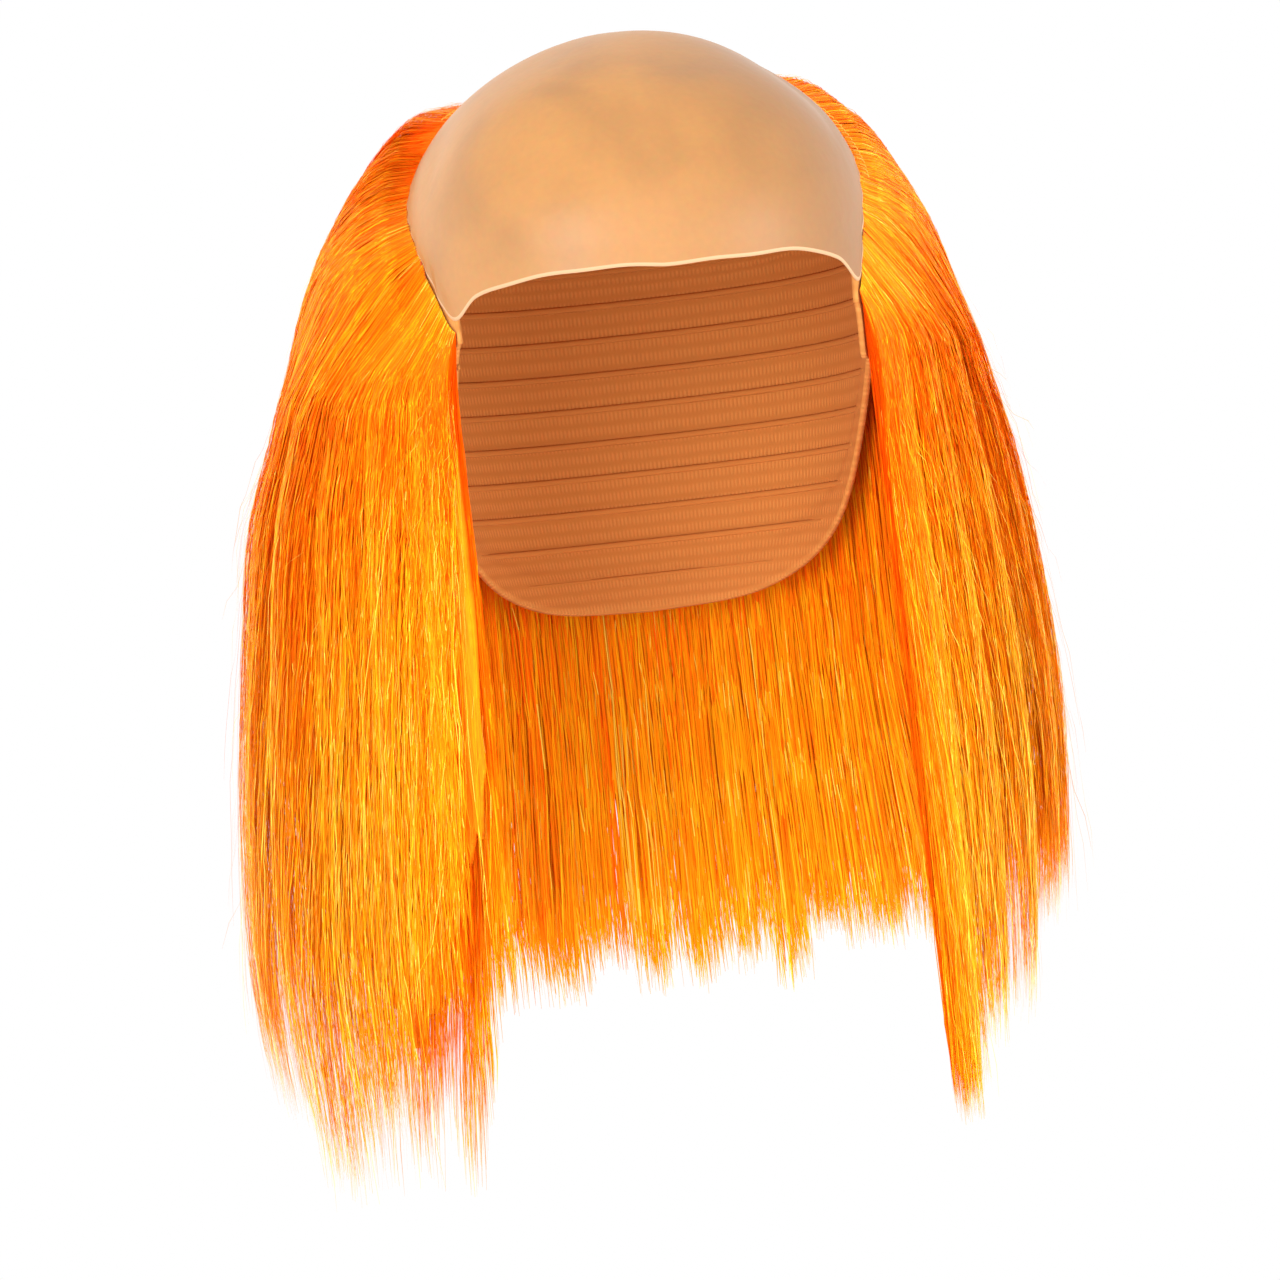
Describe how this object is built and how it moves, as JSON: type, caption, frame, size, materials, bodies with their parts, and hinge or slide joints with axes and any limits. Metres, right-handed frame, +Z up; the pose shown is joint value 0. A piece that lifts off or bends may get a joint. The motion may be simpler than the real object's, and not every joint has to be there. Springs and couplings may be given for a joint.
{
  "type": "bald clown wig",
  "caption": "Bald clown wig: a skin-coloured latex cap with a cut forehead edge, sewn to a cloth cap with long straight orange hair round the sides and back.",
  "frame": {"origin": "the crown: the point inside the latex cap that rests on the top of the wearer's head", "axes": "+Z up along the head, the face side looks along -Y, +X is the wearer's left"},
  "size_m": [0.2826, 0.2202, 0.3589],
  "materials": {
    "latex": "satin",
    "cloth": "matte",
    "hair": "satin",
    "under_hair": "satin"
  },
  "bodies": {
    "root": {"bald_cap": "latex", "cloth_cap": "cloth", "outer_hair": "hair", "under_hair": "under_hair"}
  },
  "joints": []
}
